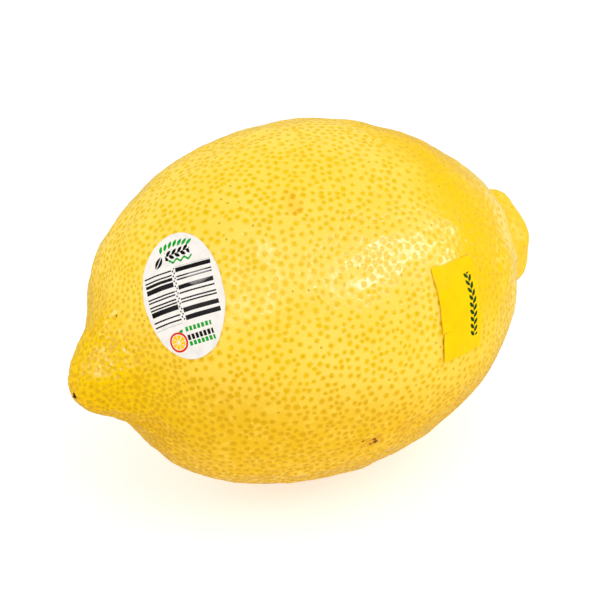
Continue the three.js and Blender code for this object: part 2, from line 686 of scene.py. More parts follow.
@dataclass(frozen=True)
class PeelFinish:
    """Waxed lemon peel: pale skin between deeper yellow glands, richer at both ends.

    A ramp whose name ends in along runs along the fruit, and one whose name ends in up runs up it.
    The other ramps shape noise or masks.
    """

    skin: SkinColours = SkinColours()
    gland: GlandColours = GlandColours()
    wax: str = "F2DAFF"
    gloss: float = 0.10

    cloud_size: float = 13 * MM
    grain_size: float = 2.4 * MM
    fine_size: float = 0.8 * MM
    fleck_size: float = 1.1 * MM
    pale_size: float = 1.5 * MM
    grit_size: float = 0.6 * MM
    grain_share: float = 0.6
    drift: float = 12 * MM
    slant_lean: float = 0.25
    slant_sway: float = 5 * MM
    nipple_lean: float = 0.25

    nipple_along: Ramp = Ramp(-21.5 * MM, -33 * MM)
    crown_up: Ramp = Ramp(14 * MM, 27 * MM)
    # where the underside's deeper colour and painted shade come in
    under_shade_up: Ramp = Ramp(40 * MM, 23 * MM, high=0.95)
    shoulder_along: Ramp = Ramp(9 * MM, 22 * MM)
    shoulder_end_along: Ramp = Ramp(43 * MM, 36 * MM, low=0.45)
    shoulder_up: Ramp = Ramp(26 * MM, 40 * MM, low=0.15)
    fleck_along: Ramp = Ramp(24 * MM, 33 * MM)
    # where the painted highlight on the shoulder's crest lies
    crest_highlight_along: Ramp = Ramp(31.5 * MM, 35 * MM, high=0.62)
    crest_highlight_end_along: Ramp = Ramp(38.5 * MM, 37 * MM)
    neck_along: Ramp = Ramp(37.5 * MM, 40 * MM)
    top_gland_up: Ramp = Ramp(30 * MM, 50 * MM, high=0.5)
    low_gland_shade_up: Ramp = Ramp(40 * MM, 24 * MM, high=0.85)
    bottom_up: Ramp = Ramp(26 * MM, 12 * MM)

    warm_cloud: Ramp = Ramp(0.35, 0.68)
    warm_mottle: Ramp = Ramp(0.46, 0.68, high=0.55)
    fleck_noise: Ramp = Ramp(0.45, 0.64, high=0.6)
    pale_noise: Ramp = Ramp(0.48, 0.70, high=0.7)
    # masks of the painted light on ridges and painted shade in valleys
    wrinkle_ridge_light: Ramp = Ramp(0.05, 0.8, high=0.6)
    wrinkle_valley_shade: Ramp = Ramp(-0.05, -0.8, high=0.6)
    grit_ridge_light: Ramp = Ramp(0.02, 0.16, high=0.7)
    grit_valley_shade: Ramp = Ramp(-0.02, -0.16, high=0.6)

    spot_edge: Ramp = Ramp(1.34, 0.54)
    spot_core: Ramp = Ramp(0.95, 0.2)
    spot_rag: float = 1.6
    spot_rag_size: float = 0.4 * MM
    bottom_growth: float = 0.08
    neck_share: float = 0.85
    bruise_share: float = 0.6
    speck_share: float = 0.65
    crown_fade: float = 0.5

    relief: tuple[Relief, ...] = (
        Relief(2.4 * MM, 1.0, 0.13 * MM, 0.6),
        Relief(1.0 * MM, 2.0, 0.11 * MM, 0.7),
        Relief(0.45 * MM, 2.0, 0.04 * MM, 0.6),
    )
    spot_depth: float = 0.07 * MM
    spot_relief: float = 0.7
    rough: Ramp = Ramp(0.3, 0.7, 0.17, 0.25)
    spot_rough: float = 0.1
    neck_rough: float = 0.25
    nipple_rough: float = -0.05

    def material(self) -> bpy.types.Material:
        """Returns the peel's material.

        Returns:
            The finished material.
        """
        sheet = Finish("lemon_peel")
        zones = self._zones(sheet)
        colour = self._neck(sheet, zones, self._body(sheet, zones))
        # the nipple darker on its lower side: painted shade
        shaded_nipple = sheet.mix(zones.crown, tint(self.skin.nipple_shaded_low), tint(self.skin.nipple))
        colour = sheet.mix(zones.nipple, colour, shaded_nipple)
        colour = self._coarse(sheet, zones, colour)
        bruise = sheet.product(zones.bruised, self.bruise_share)
        colour = sheet.mix(bruise, colour, tint(self.skin.bruise))
        spot, core = self._spots(sheet, zones)
        colour = sheet.mix(spot, colour, self._gland(sheet, zones, core))
        for marks, shade in ((RUST, self.skin.rust), (SCABS, self.skin.scab)):
            for mark in marks:
                colour = sheet.mix(mark.mask(sheet), colour, tint(shade))

        normal = sheet.relief(*self.relief)
        normal = sheet.bump(sheet.minus(1.0, spot), self.spot_depth, self.spot_relief, normal)
        rough = sheet.total(
            sheet.span(zones.grain, self.rough),
            sheet.product(spot, self.spot_rough),
            sheet.product(zones.neck, self.neck_rough),
            sheet.product(zones.nipple, self.nipple_rough),
        )
        sheet.set(Base_Color=colour, Roughness=rough, Normal=normal)
        sheet.set(Specular_Ior_Level=self.gloss, Specular_Tint=tint(self.wax))
        return sheet.material

    def _zones(self, sheet: Finish) -> Zones:
        """Returns the measures and masks that the colours share.

        Args:
            sheet: the material being made.

        Returns:
            The measures and masks.
        """
        x, z = sheet.axis("X"), sheet.axis("Z")
        cloud = sheet.noise(self.cloud_size)
        drift = sheet.total(x, sheet.product(sheet.minus(cloud, 0.5), self.drift))
        slant = sheet.total(z, sheet.product(x, self.slant_lean), sheet.product(cloud, self.slant_sway))
        tip = sheet.total(drift, sheet.product(z, self.nipple_lean))
        return Zones(
            cloud=cloud,
            grain=sheet.noise(self.grain_size),
            drift=drift,
            slant=slant,
            nipple=sheet.span(tip, self.nipple_along),
            crown=sheet.span(slant, self.crown_up),
            neck=sheet.span(x, self.neck_along),
            bruised=sheet.total(*(mark.mask(sheet) for mark in BRUISES)),
        )

    def _body(self, sheet: Finish, zones: Zones) -> Socket:
        """Returns the body's colour: clouded, deeper and darker underneath, partly as painted shade,
        mottled and richer on the shoulder.

        Args:
            sheet: the material being made.
            zones: the measures and masks of a place.

        Returns:
            The colour.
        """
        skin = self.skin
        colour = sheet.mix(sheet.span(zones.cloud, self.warm_cloud), tint(skin.pale), tint(skin.warm))
        # darker underneath: partly the peel's deeper colour, partly painted shade
        colour = sheet.mix(sheet.span(zones.slant, self.under_shade_up), colour, tint(skin.under))
        mottle = sheet.total(
            sheet.product(zones.grain, self.grain_share),
            sheet.product(sheet.noise(self.fine_size), 1 - self.grain_share),
        )
        colour = sheet.mix(sheet.span(mottle, self.warm_mottle), colour, tint(skin.warm))
        shoulder = sheet.product(
            sheet.span(zones.drift, self.shoulder_along),
            sheet.span(zones.drift, self.shoulder_end_along),
            sheet.span(sheet.axis("Z"), self.shoulder_up),
        )
        return sheet.mix(shoulder, colour, tint(skin.shoulder))

    def _neck(self, sheet: Finish, zones: Zones, colour: Socket) -> Socket:
        """Returns the skin's colour with pale flecks, a painted highlight along the shoulder's crest
        and the neck's own yellow.

        Args:
            sheet: the material being made.
            zones: the measures and masks of a place.
            colour: the skin's colour so far.

        Returns:
            The new colour.
        """
        skin = self.skin
        fleck = sheet.product(
            sheet.span(sheet.noise(self.fleck_size), self.fleck_noise),
            sheet.span(zones.drift, self.fleck_along),
        )
        colour = sheet.mix(fleck, colour, tint(skin.fleck))
        along = sheet.axis("X")
        # the crest's cream band is a painted highlight, not the peel's own colour
        crest_highlight = (sheet.span(along, ramp) for ramp in (self.crest_highlight_along, self.crest_highlight_end_along))
        colour = sheet.mix(sheet.product(*crest_highlight), colour, tint(skin.crest_highlight))
        pale = sheet.span(sheet.noise(self.pale_size), self.pale_noise)
        collar = sheet.mix(pale, tint(skin.neck), tint(skin.neck_pale))
        return sheet.mix(sheet.product(zones.neck, self.neck_share), colour, collar)

    def _coarse(self, sheet: Finish, zones: Zones, colour: Socket) -> Socket:
        """Returns the skin's colour with painted light on the wrinkles' ridges and painted shade in
        their valleys where it is coarse.

        Args:
            sheet: the material being made.
            zones: the measures and masks of a place.
            colour: the skin's colour so far.

        Returns:
            The new colour.
        """
        ridge_light = sheet.mix(zones.nipple, tint(self.skin.ridge_light), tint(self.skin.nipple_ridge_light))
        grit = sheet.product(sheet.sway(self.grit_size, detail=2.0), sheet.attribute("coarse"))
        # ridges get painted light and valleys painted shade, by the relief's height
        for height, high, low in (
            (sheet.attribute("wrinkle"), self.wrinkle_ridge_light, self.wrinkle_valley_shade),
            (grit, self.grit_ridge_light, self.grit_valley_shade),
        ):
            colour = sheet.mix(sheet.span(height, high), colour, ridge_light)
            colour = sheet.mix(sheet.span(height, low), colour, tint(self.skin.valley_shade))
        return colour

    def _spots(self, sheet: Finish, zones: Zones) -> tuple[Socket, Socket]:
        """Returns the mask of the ragged gland spots and that of their deeper cores.

        Args:
            sheet: the material being made.
            zones: the measures and masks of a place.

        Returns:
            Both masks.
        """
        away = sheet.length(sheet.attribute("gland", "Vector"))
        push = sheet.product(sheet.sway(self.spot_rag_size), self.spot_rag)
        growth = sheet.product(sheet.span(zones.slant, self.bottom_up), -self.bottom_growth)
        spot = sheet.span(sheet.total(away, push, growth), self.spot_edge)
        fade = sheet.product(zones.nipple, zones.crown, self.crown_fade)
        core = sheet.product(sheet.span(away, self.spot_core), sheet.attribute("tone"))
        return sheet.product(spot, sheet.minus(1.0, fade)), core

    def _gland(self, sheet: Finish, zones: Zones, core: Socket) -> Socket:
        """Returns the glands' own colour, which changes over the fruit.

        Args:
            sheet: the material being made.
            zones: the measures and masks of a place.
            core: the mask of the glands' cores.

        Returns:
            The colour.
        """
        shades = self.gland
        colour = sheet.mix(core, tint(shades.rim), tint(shades.core))
        for amount, shade in (
            (sheet.span(zones.slant, self.top_gland_up), shades.top),
            # darker glands low down, partly painted shade
            (sheet.span(zones.slant, self.low_gland_shade_up), shades.low),
            (zones.nipple, shades.nipple),
            (zones.bruised, shades.bruised),
            (sheet.product(sheet.attribute("speck"), self.speck_share), shades.speck),
        ):
            colour = sheet.mix(amount, colour, tint(shade))
        return colour


@dataclass(frozen=True)
class Strew:
    """How close the glands of one part of the peel lie: their least gap and most to a square metre."""

    gap: float
    density: float


@dataclass(frozen=True)
class Cells:
    """The peel's cells, one for each gland, and how its faces, corners and vertices belong to them.

    The vertices stand in the order in which they were made: the rims, which neighbours share, then all
    outer rings, all inner rings and last the middles.
    """

    face_cell: np.ndarray
    loop_cell: np.ndarray
    loop_vertex: np.ndarray
    vertex_cell: np.ndarray
    first_middle: int
    centre: np.ndarray
    up: np.ndarray
    reach: np.ndarray


@dataclass(frozen=True)
class Glands:
    """The gland in each cell: its radius, its dimple's depth, its tone and whether it is a speck."""

    radius: np.ndarray
    depth: np.ndarray
    tone: np.ndarray
    speck: np.ndarray


@dataclass
class Peel:
    """The fruit's whole skin: one closed surface of glands, each a ringed dimple."""

    body_glands: Strew = Strew(0.98 * MM, 0.99e6)
    nipple_glands: Strew = Strew(0.78 * MM, 1.6e6)
    nipple_start: float = -33 * MM
    middle: Triple = (0.0, 0.0, 31.34 * MM)
    merge_share: float = 0.8
    first_inset: float = 0.1 * MM
    gland_seed: int = 4

    gland_radius: float = 0.49 * MM
    gland_spread: float = 0.13
    gland_fill: float = 0.85
    speck_share: float = 0.022
    speck_radius: float = 0.22 * MM
    tone_mean: float = 0.65
    tone_spread: float = 0.30
    dimple_depth: float = 0.025 * MM
    depth_range: Pair = (0.5, 1.3)
    outer_ring: float = 1.45
    outer_fill: float = 0.86
    outer_sink: float = 0.12
    inner_ring: float = 0.78
    inner_sink: float = 0.72
    end_zone: Ramp = Ramp(33 * MM, 39 * MM)
    low_zone: Ramp = Ramp(26 * MM, 12 * MM)
    end_size: float = 0.75
    low_size: float = 0.85
    end_relief: float = 4.0
    low_relief_share: float = 0.8
    puff: float = 0.01 * MM

    swell_size: float = 2.8 * MM
    swell_height: float = 0.24 * MM
    wrinkle_size: float = 0.9 * MM
    wrinkle_height: float = 0.36 * MM
    full_wrinkle: float = 0.2
    coarse_lean: float = 0.25
    coarse_nipple: Ramp = Ramp(-23 * MM, -31 * MM)
    coarse_neck: Ramp = Ramp(38 * MM, 41 * MM, high=0.4)
    coarse_low: Ramp = Ramp(25 * MM, 11 * MM)
    coarse_low_along: Ramp = Ramp(12 * MM, -13 * MM, low=0.4)

    finish: PeelFinish = PeelFinish()
    form: bpy.types.Object = field(init=False)
    swelling: bpy.types.Texture = field(init=False)
    rim_count: int = field(init=False)
    ring_count: int = field(init=False)

    def build(self) -> bpy.types.Object:
        """Builds and dresses the peel, and keeps its smooth form for what lies on it.

        Returns:
            The finished piece.
        """
        self.form = self._smooth_form()
        peel = self._gland_centres()
        self._join_centres(peel)
        self._cells(peel)
        apply_modifier(peel, "SHRINKWRAP", target=self.form)
        cells = self._read_cells(peel.data)
        glands = self._draw_glands(cells)
        self._rings(peel, cells, glands)
        self._swell(peel)
        self._wrinkle(peel)
        self._press_flat(peel)
        make_active(peel)
        bpy.ops.object.shade_smooth()
        dress(peel, self.finish.material())
        hand_over(peel, Slot.PEEL, "fruit")
        return peel

    def _smooth_form(self) -> bpy.types.Object:
        """Returns a smooth copy of the fruit's solid, which the skin is laid on.

        Returns:
            The copy.
        """
        form = copy_of("fruit", "peel_form")
        apply_modifier(form, "SUBSURF", levels=2, render_levels=2)
        bpy.ops.object.shade_smooth()
        return form

    def _node_modifier(
        self, piece: bpy.types.Object, kind: str, settings: dict[str, str], inputs: dict[str, float]
    ) -> None:
        """Runs a piece's mesh through one geometry node and applies the result.

        Args:
            piece: the mesh object.
            kind: the node's type name.
            settings: the node's properties.
            inputs: its input values.
        """
        tree = bpy.data.node_groups.new(kind, "GeometryNodeTree")
        for way in ("INPUT", "OUTPUT"):
            tree.interface.new_socket("Geometry", in_out=way, socket_type="NodeSocketGeometry")
        node = tree.nodes.new(kind)
        for key, value in settings.items():
            setattr(node, key, value)
        for key, value in inputs.items():
            node.inputs[key].default_value = value
        tree.links.new(tree.nodes.new("NodeGroupInput").outputs[0], node.inputs[0])
        last = node.outputs[0]
        if last.name == "Points":
            points = tree.nodes.new("GeometryNodePointsToVertices")
            tree.links.new(last, points.inputs[0])
            last = points.outputs[0]
        tree.links.new(last, tree.nodes.new("NodeGroupOutput").inputs[0])
        apply_modifier(piece, "NODES", node_group=tree)
        bpy.data.node_groups.remove(tree)

    def _gland_centres(self) -> bpy.types.Object:
        """Returns an object with one loose vertex for each gland, strewn closer on the nipple.

        Returns:
            The new object.
        """
        peel = self._strewn(self.body_glands, on_nipple=False)
        close = self._strewn(self.nipple_glands, on_nipple=True)
        make_active(peel)
        close.select_set(True)
        bpy.ops.object.join()
        edit_all(peel)
        bpy.ops.mesh.remove_doubles(threshold=self.merge_share * self.nipple_glands.gap)
        leave_edit()
        peel.name = "peel"
        return peel

    def _strewn(self, strew: Strew, on_nipple: bool) -> bpy.types.Object:
        """Strews loose vertices over one part of the smooth form.

        Args:
            strew: how close they lie.
            on_nipple: True for the nipple alone, False for all the rest.

        Returns:
            The new object.
        """
        strewn = bpy.data.objects.new("strewn", self.form.data.copy())
        bpy.context.collection.objects.link(strewn)
        self._node_modifier(
            strewn,
            "GeometryNodeDistributePointsOnFaces",
            {"distribute_method": "POISSON"},
            {"Distance Min": strew.gap, "Density Max": strew.density, "Seed": self.gland_seed},
        )
        beyond = read_places(strewn.data)[:, 0] < self.nipple_start
        strewn.data.vertices.foreach_set("select", beyond != on_nipple)
        make_active(strewn)
        bpy.ops.object.mode_set(mode="EDIT")
        bpy.ops.mesh.delete(type="VERT")
        leave_edit()
        return strewn

    def _join_centres(self, peel: bpy.types.Object) -> None:
        """Joins the gland centres into triangles.

        On a ball the hull of the points is their best triangulation, so they are drawn out to a
        ball about the fruit's middle, joined there and put back.

        Args:
            peel: the object of loose vertices.
        """
        mesh = peel.data
        places = read_places(mesh)
        record(mesh, "place", "POINT", places)
        write_places(mesh, unit(places - np.array(self.middle)))
        edit_all(peel)
        bpy.ops.mesh.convex_hull(join_triangles=False)
        leave_edit()
        write_places(mesh, read_rows(mesh.attributes["place"].data, "vector"))
        edit_all(peel)
        bpy.ops.mesh.beautify_fill(angle_limit=math.pi)
        bpy.ops.mesh.normals_make_consistent(inside=False)
        leave_edit()

    def _cells(self, peel: bpy.types.Object) -> None:
        """Turns every gland centre into a cell with two inner rings and a middle point.

        Args:
            peel: the closed surface of triangles.
        """
        self._node_modifier(peel, "GeometryNodeDualMesh", {}, {})
        mesh = peel.data
        record(mesh, "cell", "FACE", np.arange(len(mesh.polygons), dtype=np.int32))
        self.rim_count = len(mesh.vertices)
        edit_all(peel)
        bpy.ops.mesh.inset(thickness=self.first_inset, use_individual=True)
        leave_edit()
        self.ring_count = len(mesh.vertices)
        bpy.ops.object.mode_set(mode="EDIT")
        bpy.ops.mesh.inset(thickness=self.first_inset, use_individual=True)
        bpy.ops.mesh.poke()
        leave_edit()

    def _read_cells(self, mesh: bpy.types.Mesh) -> Cells:
        """Reads what belongs to each cell, and each cell's middle, outward direction and inner reach.

        Args:
            mesh: the skin's mesh, with its cells already split.

        Returns:
            The cells.
        """
        loop_vertex = read_numbers(mesh.loops, "vertex_index")
        face_cell = read_numbers(mesh.attributes["cell"].data, "value")
        loop_cell = np.repeat(face_cell, read_numbers(mesh.polygons, "loop_total"))
        places = read_places(mesh)
        count = int(face_cell.max()) + 1
        first_middle = len(places) - count
        inner = loop_vertex >= self.rim_count
        vertex_cell = np.full(len(places), -1)
        vertex_cell[loop_vertex[inner]] = loop_cell[inner]

        rim_cell = loop_cell[~inner]
        rim = places[loop_vertex[~inner]]
        sums = [np.bincount(rim_cell, rim[:, axis], count) for axis in range(3)]
        centre = np.stack(sums, axis=1) / np.bincount(rim_cell, minlength=count)[:, None]
        up = np.empty((count, 3))
        up[vertex_cell[first_middle:]] = read_rows(mesh.vertices, "normal")[first_middle:]
        reach = np.full(count, np.inf)
        np.minimum.at(reach, rim_cell, np.linalg.norm(rim - centre[rim_cell], axis=1))
        return Cells(face_cell, loop_cell, loop_vertex, vertex_cell, first_middle, centre, up, reach)

    def _draw_glands(self, cells: Cells) -> Glands:
        """Draws a gland for each cell, smaller and deeper where the skin is coarse.

        Args:
            cells: the peel's cells.

        Returns:
            Their glands.
        """
        draw = np.random.default_rng(self.gland_seed)
        count = len(cells.centre)
        radius = self.gland_radius * np.exp(self.gland_spread * draw.standard_normal(count))
        speck = draw.random(count) < self.speck_share
        radius = np.where(speck, self.speck_radius, np.minimum(radius, self.gland_fill * cells.reach))
        tone = np.clip(self.tone_mean + self.tone_spread * draw.standard_normal(count), 0, 1)
        end = self.end_zone.of(np.abs(cells.centre[:, 0]))
        low = self.low_zone.of(cells.centre[:, 2])
        radius *= np.minimum(1 + (self.end_size - 1) * end, 1 + (self.low_size - 1) * low)
        strength = 1 + (self.end_relief - 1) * np.maximum(end, self.low_relief_share * low)
        depth = self.dimple_depth * (radius / self.gland_radius)
        depth *= draw.uniform(*self.depth_range, count) * strength
        return Glands(radius, depth, tone, speck)

    def _rings(self, peel: bpy.types.Object, cells: Cells, glands: Glands) -> None:
        """Rounds each cell's rings, sinks its dimple and records where its gland is.

        Args:
            peel: the skin.
            cells: its cells.
            glands: their glands.
        """
        places = read_places(peel.data)
        normals = read_rows(peel.data.vertices, "normal")
        index = np.arange(self.rim_count, len(places))
        owner = cells.vertex_cell[index]
        centre, up, radius = cells.centre[owner], cells.up[owner], glands.radius[owner]
        offset = places[index] - centre
        offset -= up * np.sum(offset * up, axis=1, keepdims=True)
        outer = index < self.ring_count
        middle = index >= cells.first_middle
        wide = np.minimum(self.outer_ring * radius, self.outer_fill * cells.reach[owner])
        ring = np.where(middle, 0.0, np.where(outer, wide, self.inner_ring * radius))
        sink = np.where(outer, self.outer_sink, np.where(middle, 1.0, self.inner_sink))
        places[index] = centre + unit(offset) * ring[:, None]
        write_places(peel.data, places)
        apply_modifier(peel, "SHRINKWRAP", target=self.form)
        places = read_places(peel.data)
        places[index] -= up * (sink * glands.depth[owner])[:, None]
        places[:self.rim_count] += normals[:self.rim_count] * self.puff
        write_places(peel.data, places)

        up = cells.up[cells.loop_cell]
        flat = places[cells.loop_vertex] - cells.centre[cells.loop_cell]
        flat -= up * np.sum(flat * up, axis=1, keepdims=True)
        record(peel.data, "gland", "CORNER", flat / glands.radius[cells.loop_cell][:, None])
        record(peel.data, "tone", "FACE", glands.tone[cells.face_cell])
        record(peel.data, "speck", "FACE", glands.speck.astype(float)[cells.face_cell])

    def _swell(self, peel: bpy.types.Object) -> None:
        """Raises low uneven swellings in the skin.

        Args:
            peel: the skin.
        """
        self.swelling = bpy.data.textures.new("swelling", "CLOUDS")
        self.swelling.noise_scale = self.swell_size
        self.swelling.noise_depth = 1
        self.follow_swell(peel)

    def follow_swell(self, piece: bpy.types.Object) -> None:
        """Moves a piece in and out as the skin swells under it."""
        height = self.swell_height
        apply_modifier(piece, "DISPLACE", texture=self.swelling, strength=height, mid_level=0.5)

    def _wrinkle(self, peel: bpy.types.Object) -> None:
        """Wrinkles the skin where it is coarse, and records how high each point then stands.

        Args:
            peel: the skin.
        """
        texture = bpy.data.textures.new("wrinkles", "CLOUDS")
        texture.noise_scale = self.wrinkle_size
        before = read_places(peel.data)
        apply_modifier(peel, "DISPLACE", texture=texture, strength=self.wrinkle_height, mid_level=0.5)
        move = read_places(peel.data) - before
        share = self._coarseness(before)
        write_places(peel.data, before + move * share[:, None])
        outward = np.sum(move * unit(before - np.array(self.middle)), axis=1)
        full = self.full_wrinkle * self.wrinkle_height
        record(peel.data, "wrinkle", "POINT", share * outward / full)
        record(peel.data, "coarse", "POINT", share)

    def _coarseness(self, places: np.ndarray) -> np.ndarray:
        """Returns how coarse the skin is at each place, from 0 on the upper body to 1 on the nipple.

        Args:
            places: rows of x, y, z.

        Returns:
            One number for each row.
        """
        x, z = places[:, 0], places[:, 2]
        nipple = self.coarse_nipple.of(x + self.coarse_lean * z)
        low = self.coarse_low.of(z) * self.coarse_low_along.of(x)
        return np.maximum(np.maximum(nipple, self.coarse_neck.of(x)), low)

    def _press_flat(self, peel: bpy.types.Object) -> None:
        """Presses the skin flat where the fruit rests on the floor.

        Args:
            peel: the skin.
        """
        places = read_places(peel.data)
        places[:, 2] = np.maximum(places[:, 2], 0.0)
        write_places(peel.data, places)


# ------------------------------------------------------------------ printing
# Places and sizes of print are in millimetres on the flat film, x across it and y up it; those of
# noise are in metres.
@dataclass(frozen=True)
class Leaf:
    """A pointed leaf: its length and width, and how it leans from the x axis in degrees."""

    length: float
    width: float
    lean: float

    def mask(self, sheet: Finish, x: Value, y: Value) -> Socket:
        """Returns 1 inside the leaf, which lies about the origin.

        Args:
            sheet: the material being made.
            x: the place along the x axis, from the leaf's middle.
            y: the place along the y axis.

        Returns:
            1 on it and 0 elsewhere.
        """
        along, aside = sheet.turned(x, y, self.lean)
        bulge = sheet.product(sheet.size_of(aside), 2 / self.width)
        reach = sheet.product(along, 2 / self.length)
        return sheet.math("LESS_THAN", sheet.total(bulge, sheet.product(reach, reach)), 1.0)


@dataclass(frozen=True)
class Sprig:
    """Leaves to both sides of a straight stem: their pitch, their distance from it and their form."""

    pitch: float
    reach: float
    leaf: Leaf
    half_stem: float = 0.07

    def mask(self, sheet: Finish, along: Value, aside: Value) -> Socket:
        """Returns 1 on the stem and its leaves, for places along the stem and aside from it.

        Args:
            sheet: the material being made.
            along: the place along the stem.
            aside: the distance from it.

        Returns:
            1 on it and 0 elsewhere.
        """
        parts = [sheet.within(aside, self.half_stem)]
        for hand, shift in ((1.0, 0.0), (-1.0, self.pitch / 2)):
            step = sheet.repeat(sheet.total(along, shift), self.pitch)
            out = sheet.minus(sheet.product(aside, hand), self.reach)
            parts.append(self.leaf.mask(sheet, step, out))
        return sheet.union(*parts)


@dataclass(frozen=True)
class Wave:
    """A stroke that swings about a level line: its ends, level, swing, half stroke and pace.

    The pace is in radians a millimetre.
    """

    start: float
    end: float
    level: float
    swing: float
    stroke: float
    pace: float

    def mask(self, sheet: Finish, along: Value, aside: Value) -> Socket:
        """Returns 1 on the stroke.

        Args:
            sheet: the material being made.
            along: the place along the line.
            aside: the place across it.

        Returns:
            1 on it and 0 elsewhere.
        """
        swing = sheet.product(sheet.math("SINE", sheet.product(along, self.pace)), self.swing)
        off = sheet.minus(sheet.minus(aside, self.level), swing)
        return sheet.product(sheet.within(off, self.stroke), sheet.inside(along, self.start, self.end))


@dataclass(frozen=True)
class DashRow:
    """A row of plain dashes: its level, half height and ends, and the dashes' pitch and half length."""

    level: float
    half_height: float
    start: float = -0.9
    end: float = 4.0
    pitch: float = 0.74
    half_dash: float = 0.26

    def mask(self, sheet: Finish, x: Value, y: Value) -> Socket:
        """Returns 1 on the dashes.

        Args:
            sheet: the material being made.
            x: the place across the film.
            y: the place up it.

        Returns:
            1 on it and 0 elsewhere.
        """
        row = sheet.within(sheet.minus(y, self.level), self.half_height)
        dash = sheet.within(sheet.repeat(sheet.minus(x, self.start), self.pitch), self.half_dash)
        return sheet.product(row, dash, sheet.inside(x, self.start, self.end))


@dataclass(frozen=True)
class BarPanel:
    """A panel of plain bars of random thickness: its limits across and up, and its seed.

    The bars of each kind have a thickness and a share of the places where one could stand.
    """

    across: Pair
    up: Pair
    seed: float
    thick: Pair = (0.78, 0.20)
    thin: Pair = (0.27, 0.42)
    thin_seed: float = 5.0

    def mask(self, sheet: Finish, x: Value, y: Value) -> Socket:
        """Returns 1 on the bars.

        Args:
            sheet: the material being made.
            x: the place across the film.
            y: the place up it.

        Returns:
            1 on it and 0 elsewhere.
        """
        panel = sheet.product(sheet.inside(x, *self.across), sheet.inside(y, *self.up))
        kinds = ((self.thick, self.seed), (self.thin, self.seed + self.thin_seed))
        bars = (
            sheet.math("LESS_THAN", sheet.chance(y, thickness, seed), share)
            for (thickness, share), seed in kinds
        )
        return sheet.product(panel, sheet.math("MAXIMUM", *bars))


@dataclass(frozen=True)
class Garland:
    """Slanting leaves in a row on an arc: its centre and radius, their pitch, ends and form."""

    centre: Pair
    radius: float
    pitch: float
    start: float
    end: float
    leaf: Leaf

    def mask(self, sheet: Finish, x: Value, y: Value) -> Socket:
        """Returns 1 on the leaves.

        Args:
            sheet: the material being made.
            x: the place across the film.
            y: the place up it.

        Returns:
            1 on it and 0 elsewhere.
        """
        side, rise, away = sheet.about(x, y, self.centre)
        along = sheet.product(sheet.math("ARCTAN2", side, rise), self.radius)
        step = sheet.repeat(sheet.minus(along, self.start), self.pitch)
        leaves = self.leaf.mask(sheet, step, sheet.minus(away, self.radius))
        return sheet.product(leaves, sheet.inside(along, self.start, self.end))


@dataclass(frozen=True)
class CitrusWheel:
    """A slice of citrus: its centre, the radii of rind, pith and flesh, its walls and its colours."""

    centre: Pair = (-2.68, -7.79)
    rind_radius: float = 1.72
    pith_radius: float = 1.36
    flesh_radii: Pair = (0.15, 1.26)
    segments: int = 8
    half_wall: float = 0.06
    rind: str = "D81E08"
    flesh: str = "F8C400"

    def over(self, sheet: Finish, x: Value, y: Value, under: Socket, pith: str) -> Socket:
        """Returns the film's colour with the slice printed over it.

        Args:
            sheet: the material being made.
            x: the place across the film.
            y: the place up it.
            under: the film's colour.
            pith: the colour code of the bare film, which the pith shows.

        Returns:
            The printed colour.
        """
        side, rise, away = sheet.about(x, y, self.centre)
        angle = sheet.product(sheet.math("ARCTAN2", rise, side), self.segments / (2 * math.pi))
        off_wall = sheet.size_of(sheet.product(sheet.repeat(angle, 1.0), away))
        room = sheet.minus(sheet.product(away, 0.5), off_wall)
        wedge = sheet.math("GREATER_THAN", room, self.half_wall)
        colour = sheet.mix(sheet.math("LESS_THAN", away, self.rind_radius), under, tint(self.rind))
        colour = sheet.mix(sheet.math("LESS_THAN", away, self.pith_radius), colour, tint(pith))
        flesh = sheet.product(wedge, sheet.inside(away, *self.flesh_radii))
        return sheet.mix(flesh, colour, tint(self.flesh))


